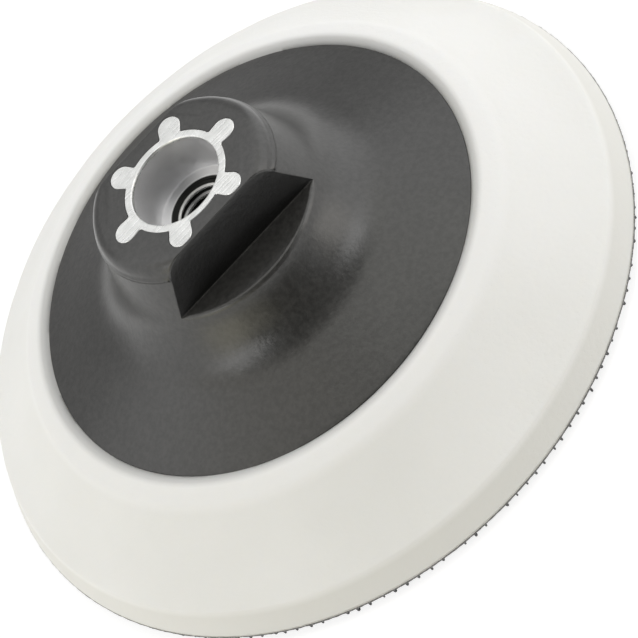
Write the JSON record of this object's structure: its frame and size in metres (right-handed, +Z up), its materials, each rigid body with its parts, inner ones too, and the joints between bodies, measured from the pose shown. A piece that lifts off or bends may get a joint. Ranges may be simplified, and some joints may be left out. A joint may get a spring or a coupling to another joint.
{
  "type": "hook-faced backing pad",
  "caption": "Round foam backing pad with a flared plastic hub, a threaded metal bush and a hook face, for rotary sanding and polishing.",
  "frame": {"origin": "centre of the hook face, at the tips of the hooks", "axes": "+Z up the spindle axis, out of the hub; the two spanner flats face +Y and -Y"},
  "size_m": [0.15, 0.15, 0.05],
  "materials": {
    "bush_metal": "machined top face with fine turning marks, duller bore",
    "hub_plastic": "charcoal moulded, satin with faint mottling",
    "disc_laminate": "glass fibre laminate, dull",
    "foam_skin": "off-white moulded foam skin, matte",
    "film_adhesive": "thin clear yellowish film",
    "tape_ground": "black tight weave",
    "tape_hooks": "black monofilament hooks"
  },
  "bodies": {
    "root": {"threaded_bush": "bush_metal", "hub_dome": "hub_plastic", "stiffener_disc": "disc_laminate", "foam_body": "foam_skin", "adhesive_film": "film_adhesive", "hook_ground_fabric": "tape_ground", "hook_pile": "tape_hooks"}
  },
  "joints": []
}
